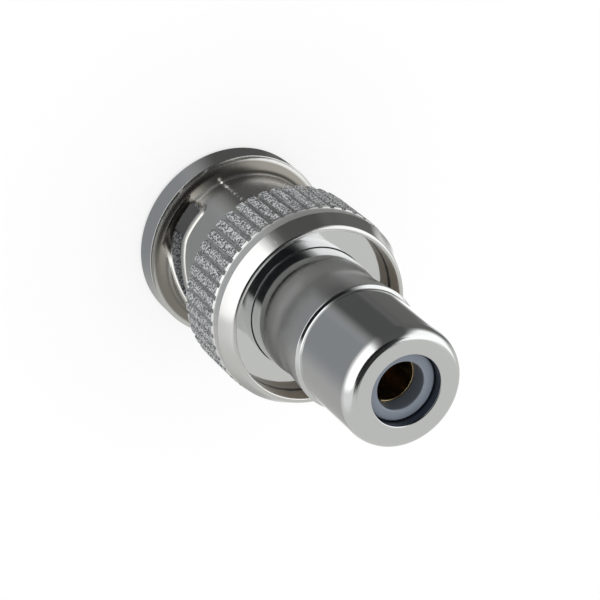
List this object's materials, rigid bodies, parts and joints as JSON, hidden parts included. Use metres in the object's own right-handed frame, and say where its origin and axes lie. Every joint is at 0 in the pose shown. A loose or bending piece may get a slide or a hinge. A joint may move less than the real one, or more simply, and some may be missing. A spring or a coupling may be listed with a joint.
{
  "type": "bayonet plug to phono jack adapter",
  "caption": "Metal video adapter: knurled bayonet coupling nut and pin plug at one end, phono jack barrel at the other.",
  "frame": {"origin": "centre of the nut's front rim face, on the adapter's axis", "axes": "+Z along the axis from the bayonet plug to the phono jack, -Y towards the side that the picture shows"},
  "size_m": [0.014, 0.014, 0.0262],
  "materials": {
    "cast_nickel": "bright nickel plate over a die casting, sand-rough on the ribs",
    "disc_nickel": "bright nickel plate on a punched disc",
    "turned_nickel": "bright nickel plate on turned brass",
    "spring_steel": "plain spring steel",
    "gasket_rubber": "soft red-brown silicone",
    "bush_white": "white turned plastic",
    "pin_gold": "thin gold plate",
    "insulator_grey": "blue-grey moulded plastic",
    "contact_brass": "bare brass"
  },
  "bodies": {
    "adapter": {"adapter_body": "turned_nickel", "front_gasket": "gasket_rubber", "bnc_insulator": "bush_white", "centre_pin": "pin_gold", "rca_insulator": "insulator_grey", "rca_contact": "contact_brass", "wave_spring": "spring_steel"},
    "follower": {"thrust_washer": "spring_steel"},
    "nut": {"coupling_nut": "cast_nickel", "closing_washer": "disc_nickel"}
  },
  "joints": [
    {"name": "nut_pull", "type": "slide", "parent": "adapter", "child": "follower", "axis": [0, 0, -1], "range_m": [0, 0.0008], "stiffness_N_per_m": 12000, "springref_m": -0.0005, "deforming": ["wave_spring"]},
    {"name": "nut_turn", "type": "hinge", "parent": "follower", "child": "nut", "pos_m": [0, 0, 0.01265], "axis": [0, 0, 1], "continuous": true}
  ]
}
